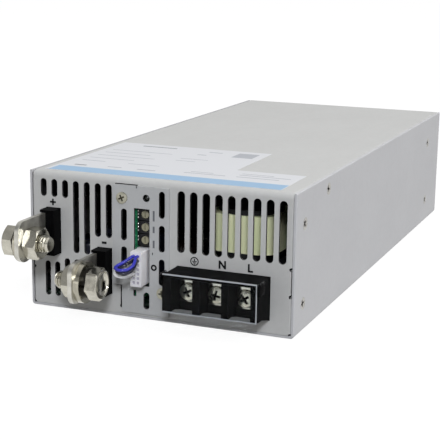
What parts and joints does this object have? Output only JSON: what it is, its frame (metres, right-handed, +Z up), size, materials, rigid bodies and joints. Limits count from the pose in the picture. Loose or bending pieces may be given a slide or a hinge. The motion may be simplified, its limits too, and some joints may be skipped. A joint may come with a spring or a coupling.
{
  "type": "switching power supply module",
  "caption": "Flat sheet-metal power supply with bolted output bars, a shielded mains terminal block, a signal plug and adjusters at the front, and fans at the rear.",
  "frame": {"origin": "middle of the case's underside, on the plane it rests on", "axes": "+X to the right seen from the front, +Y from the terminal face to the fan face, +Z up"},
  "size_m": [0.127, 0.3115, 0.0632],
  "materials": {
    "galvanised_sheet": "satin zinc-coated sheet",
    "bright_screw": "zinc plated",
    "label_film": "satin film",
    "tinned_bar": "bright tin plate",
    "black_nylon": "moulded, slightly glossy",
    "plated_bolt": "bright nickel plate",
    "contact_metal": "nickel plate",
    "clear_shield": "clear moulded polycarbonate",
    "green_board": "solder mask",
    "beige_rotor": "moulded",
    "white_plug": "moulded nylon",
    "blue_wire": "smooth insulation",
    "lamp_black": "moulded",
    "lamp_green": "tinted clear",
    "brass_spacer": "turned",
    "dark_ferrite": "sintered, matt",
    "yellow_tape": "polyester tape",
    "grey_case": "potted box",
    "fuse_body": "ceramic tube",
    "device_black": "moulded epoxy",
    "sink_aluminium": "extruded",
    "copper_winding": "enamelled wire",
    "can_sleeve": "printed sleeve left plain",
    "fan_black": "moulded"
  },
  "bodies": {
    "case": {"chassis": "galvanised_sheet", "front_top_cover": "galvanised_sheet", "rear_panel": "galvanised_sheet", "control_plate": "galvanised_sheet", "case_screws": "bright_screw", "control_plate_screws": "bright_screw", "fan_screws": "bright_screw", "board_screws": "bright_screw", "rating_label": "label_film", "positive_busbar": "tinned_bar", "negative_busbar": "tinned_bar", "positive_insulator": "black_nylon", "negative_insulator": "black_nylon", "terminal_block": "black_nylon", "trimmer_bodies": "black_nylon", "positive_bolt": "plated_bolt", "negative_bolt": "plated_bolt", "positive_nut": "plated_bolt", "negative_nut": "plated_bolt", "positive_flat_washers": "plated_bolt", "negative_flat_washers": "plated_bolt", "positive_spring_washer": "plated_bolt", "negative_spring_washer": "plated_bolt", "terminal_plates": "contact_metal", "terminal_washers": "contact_metal", "terminal_screws": "contact_metal", "control_board": "green_board", "main_board": "green_board", "signal_header": "white_plug", "signal_plug": "white_plug", "jumper_wire_1": "blue_wire", "jumper_wire_2": "blue_wire", "lamp_holder": "lamp_black", "power_lamp": "lamp_green", "board_standoffs": "brass_spacer", "input_choke_core": "dark_ferrite", "transformer_core": "dark_ferrite", "input_choke_winding": "yellow_tape", "transformer_winding": "yellow_tape", "filter_capacitors": "grey_case", "inrush_relay": "grey_case", "input_fuse": "fuse_body", "bridge_rectifier": "device_black", "power_transistors": "device_black", "output_rectifiers": "device_black", "primary_heatsink": "sink_aluminium", "secondary_heatsink": "sink_aluminium", "boost_choke": "copper_winding", "output_choke": "copper_winding", "bulk_capacitors": "can_sleeve", "output_capacitors": "can_sleeve", "left_fan_frame": "fan_black", "right_fan_frame": "fan_black"},
    "left_fan_rotor": {"left_fan_rotor": "fan_black"},
    "right_fan_rotor": {"right_fan_rotor": "fan_black"},
    "trimmer_rotor_1": {"trimmer_rotor_1": "beige_rotor"},
    "trimmer_rotor_2": {"trimmer_rotor_2": "beige_rotor"},
    "trimmer_rotor_3": {"trimmer_rotor_3": "beige_rotor"},
    "terminal_cover": {"terminal_cover": "clear_shield"}
  },
  "joints": [
    {"name": "left_fan_spin", "type": "hinge", "parent": "case", "child": "left_fan_rotor", "pos_m": [-0.0303, 0.127, 0.0315], "axis": [0, 1, 0], "continuous": true},
    {"name": "right_fan_spin", "type": "hinge", "parent": "case", "child": "right_fan_rotor", "pos_m": [0.0303, 0.127, 0.0315], "axis": [0, 1, 0], "continuous": true},
    {"name": "trimmer_turn_1", "type": "hinge", "parent": "case", "child": "trimmer_rotor_1", "pos_m": [-0.0071, -0.1376, 0.0471], "axis": [0, -1, 0], "range_deg": [-130, 130]},
    {"name": "trimmer_turn_2", "type": "hinge", "parent": "case", "child": "trimmer_rotor_2", "pos_m": [-0.0071, -0.1376, 0.0413], "axis": [0, -1, 0], "range_deg": [-130, 130]},
    {"name": "trimmer_turn_3", "type": "hinge", "parent": "case", "child": "trimmer_rotor_3", "pos_m": [-0.0071, -0.1376, 0.0355], "axis": [0, -1, 0], "range_deg": [-130, 130]},
    {"name": "terminal_cover_hinge", "type": "hinge", "parent": "case", "child": "terminal_cover", "pos_m": [0.03095, -0.1515, 0.024], "axis": [-1, 0, 0], "range_deg": [0, 90]}
  ]
}
